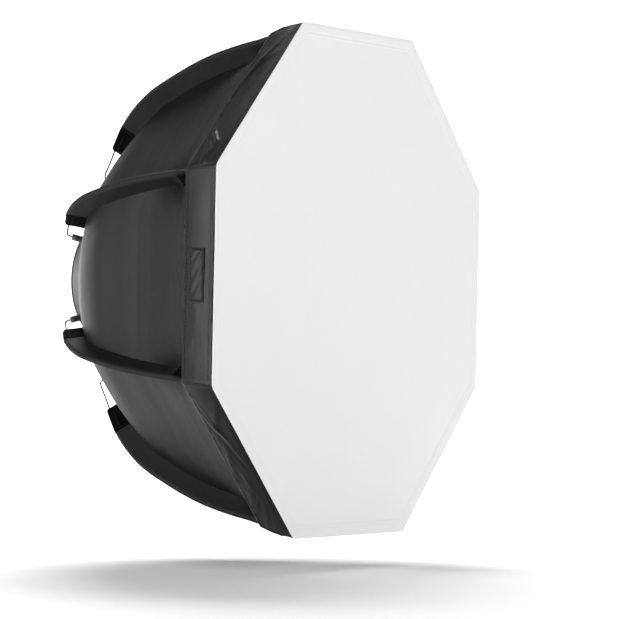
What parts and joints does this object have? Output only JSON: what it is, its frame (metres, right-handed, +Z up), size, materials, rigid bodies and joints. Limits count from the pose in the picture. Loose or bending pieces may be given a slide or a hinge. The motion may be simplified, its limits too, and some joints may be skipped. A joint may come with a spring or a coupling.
{
  "type": "studio softbox",
  "caption": "Folding octagonal softbox: black fabric canopy on curved spring ribs, hinged hub ring, satin front hem and a removable white front diffuser.",
  "frame": {"origin": "centre of the hub ring's mounting face, on the box's axis", "axes": "+Y along the axis, out of the back towards the light head; the light shines along -Y; +Z up, with a flat side of the octagon at top and bottom"},
  "size_m": [0.6098, 0.369, 0.6098],
  "materials": {
    "canopy_fabric": "matte woven nylon with a silver inner face",
    "hem_satin": "coated satin nylon, slightly glossy",
    "sleeve_fabric": "matte woven nylon",
    "webbing": "ribbed nylon webbing",
    "diffuser_cloth": "white translucent cloth",
    "rod_steel": "dark spring steel",
    "hub_metal": "satin anodised",
    "arm_plastic": "black glass-filled nylon",
    "cord_elastic": "braided elastic cord"
  },
  "bodies": {
    "hub": {"hub_ring": "hub_metal"},
    "rib_1": {"rib_rod_1": "rod_steel", "rib_sleeve_1": "sleeve_fabric", "rib_end_cap_1": "webbing", "tie_cord_1": "cord_elastic", "front_tab_1": "webbing", "hub_arm_1": "arm_plastic"},
    "rib_2": {"rib_rod_2": "rod_steel", "rib_sleeve_2": "sleeve_fabric", "rib_end_cap_2": "webbing", "tie_cord_2": "cord_elastic", "front_tab_2": "webbing", "hub_arm_2": "arm_plastic"},
    "rib_3": {"rib_rod_3": "rod_steel", "rib_sleeve_3": "sleeve_fabric", "rib_end_cap_3": "webbing", "tie_cord_3": "cord_elastic", "front_tab_3": "webbing", "hub_arm_3": "arm_plastic"},
    "rib_4": {"rib_rod_4": "rod_steel", "rib_sleeve_4": "sleeve_fabric", "rib_end_cap_4": "webbing", "tie_cord_4": "cord_elastic", "front_tab_4": "webbing", "hub_arm_4": "arm_plastic"},
    "rib_5": {"rib_rod_5": "rod_steel", "rib_sleeve_5": "sleeve_fabric", "rib_end_cap_5": "webbing", "tie_cord_5": "cord_elastic", "front_tab_5": "webbing", "hub_arm_5": "arm_plastic"},
    "rib_6": {"rib_rod_6": "rod_steel", "rib_sleeve_6": "sleeve_fabric", "rib_end_cap_6": "webbing", "tie_cord_6": "cord_elastic", "front_tab_6": "webbing", "hub_arm_6": "arm_plastic"},
    "rib_7": {"rib_rod_7": "rod_steel", "rib_sleeve_7": "sleeve_fabric", "rib_end_cap_7": "webbing", "tie_cord_7": "cord_elastic", "front_tab_7": "webbing", "hub_arm_7": "arm_plastic"},
    "rib_8": {"rib_rod_8": "rod_steel", "rib_sleeve_8": "sleeve_fabric", "rib_end_cap_8": "webbing", "tie_cord_8": "cord_elastic", "front_tab_8": "webbing", "hub_arm_8": "arm_plastic"},
    "gore_1": {"canopy_gore_1": "canopy_fabric"},
    "gore_2": {"canopy_gore_2": "canopy_fabric"},
    "gore_3": {"canopy_gore_3": "canopy_fabric"},
    "gore_4": {"canopy_gore_4": "canopy_fabric"},
    "gore_5": {"canopy_gore_5": "canopy_fabric"},
    "gore_6": {"canopy_gore_6": "canopy_fabric"},
    "gore_7": {"canopy_gore_7": "canopy_fabric"},
    "gore_8": {"canopy_gore_8": "canopy_fabric"},
    "hem": {"front_hem": "hem_satin", "hem_patch": "hem_satin"},
    "diffuser_panel": {"diffuser": "diffuser_cloth"}
  },
  "joints": [
    {"name": "fold", "type": "hinge", "parent": "hub", "child": "rib_1", "pos_m": [0.07761, -0.04, -0.03214], "axis": [-0.3827, 0, -0.9239], "range_deg": [0, 30], "deforming": ["canopy_gore_1", "canopy_gore_2", "canopy_gore_3", "canopy_gore_4", "canopy_gore_5", "canopy_gore_6", "canopy_gore_7", "canopy_gore_8"]},
    {"name": "rib_2_fold", "type": "hinge", "parent": "hub", "child": "rib_2", "pos_m": [0.03214, -0.04, -0.07761], "axis": [-0.9239, 0, -0.3827], "range_deg": [0, 30]},
    {"name": "rib_3_fold", "type": "hinge", "parent": "hub", "child": "rib_3", "pos_m": [-0.03214, -0.04, -0.07761], "axis": [-0.9239, 0, 0.3827], "range_deg": [0, 30]},
    {"name": "rib_4_fold", "type": "hinge", "parent": "hub", "child": "rib_4", "pos_m": [-0.07761, -0.04, -0.03214], "axis": [-0.3827, 0, 0.9239], "range_deg": [0, 30]},
    {"name": "rib_5_fold", "type": "hinge", "parent": "hub", "child": "rib_5", "pos_m": [-0.07761, -0.04, 0.03214], "axis": [0.3827, 0, 0.9239], "range_deg": [0, 30]},
    {"name": "rib_6_fold", "type": "hinge", "parent": "hub", "child": "rib_6", "pos_m": [-0.03214, -0.04, 0.07761], "axis": [0.9239, 0, 0.3827], "range_deg": [0, 30]},
    {"name": "rib_7_fold", "type": "hinge", "parent": "hub", "child": "rib_7", "pos_m": [0.03214, -0.04, 0.07761], "axis": [0.9239, 0, -0.3827], "range_deg": [0, 30]},
    {"name": "rib_8_fold", "type": "hinge", "parent": "hub", "child": "rib_8", "pos_m": [0.07761, -0.04, 0.03214], "axis": [0.3827, 0, -0.9239], "range_deg": [0, 30]},
    {"name": "gore_1_fold", "type": "hinge", "parent": "hub", "child": "gore_1", "pos_m": [0.05488, -0.04, -0.05488], "axis": [-0.7071, 0, -0.7071], "range_deg": [0, 30]},
    {"name": "gore_2_fold", "type": "hinge", "parent": "hub", "child": "gore_2", "pos_m": [0, -0.04, -0.07761], "axis": [-1, 0, 0], "range_deg": [0, 30]},
    {"name": "gore_3_fold", "type": "hinge", "parent": "hub", "child": "gore_3", "pos_m": [-0.05488, -0.04, -0.05488], "axis": [-0.7071, 0, 0.7071], "range_deg": [0, 30]},
    {"name": "gore_4_fold", "type": "hinge", "parent": "hub", "child": "gore_4", "pos_m": [-0.07761, -0.04, 0], "axis": [0, 0, 1], "range_deg": [0, 30]},
    {"name": "gore_5_fold", "type": "hinge", "parent": "hub", "child": "gore_5", "pos_m": [-0.05488, -0.04, 0.05488], "axis": [0.7071, 0, 0.7071], "range_deg": [0, 30]},
    {"name": "gore_6_fold", "type": "hinge", "parent": "hub", "child": "gore_6", "pos_m": [0, -0.04, 0.07761], "axis": [1, 0, 0], "range_deg": [0, 30]},
    {"name": "gore_7_fold", "type": "hinge", "parent": "hub", "child": "gore_7", "pos_m": [0.05488, -0.04, 0.05488], "axis": [0.7071, 0, -0.7071], "range_deg": [0, 30]},
    {"name": "gore_8_fold", "type": "hinge", "parent": "hub", "child": "gore_8", "pos_m": [0.07761, -0.04, 0], "axis": [0, 0, -1], "range_deg": [0, 30]},
    {"name": "hem_travel", "type": "slide", "parent": "hub", "child": "hem", "axis": [0, -1, 0], "range_m": [0, 0.1329]},
    {"name": "diffuser_removal", "type": "slide", "parent": "hem", "child": "diffuser_panel", "axis": [0, -1, 0], "range_m": [0, 0.25]}
  ],
  "couplings": [
    {"joint": "rib_2_fold", "follows": "fold", "ratio": 1},
    {"joint": "rib_3_fold", "follows": "fold", "ratio": 1},
    {"joint": "rib_4_fold", "follows": "fold", "ratio": 1},
    {"joint": "rib_5_fold", "follows": "fold", "ratio": 1},
    {"joint": "rib_6_fold", "follows": "fold", "ratio": 1},
    {"joint": "rib_7_fold", "follows": "fold", "ratio": 1},
    {"joint": "rib_8_fold", "follows": "fold", "ratio": 1},
    {"joint": "gore_1_fold", "follows": "fold", "ratio": 0.94},
    {"joint": "gore_2_fold", "follows": "fold", "ratio": 0.94},
    {"joint": "gore_3_fold", "follows": "fold", "ratio": 0.94},
    {"joint": "gore_4_fold", "follows": "fold", "ratio": 0.94},
    {"joint": "gore_5_fold", "follows": "fold", "ratio": 0.94},
    {"joint": "gore_6_fold", "follows": "fold", "ratio": 0.94},
    {"joint": "gore_7_fold", "follows": "fold", "ratio": 0.94},
    {"joint": "gore_8_fold", "follows": "fold", "ratio": 0.94},
    {"joint": "hem_travel", "follows": "fold", "m_per_rad": 0.25}
  ]
}
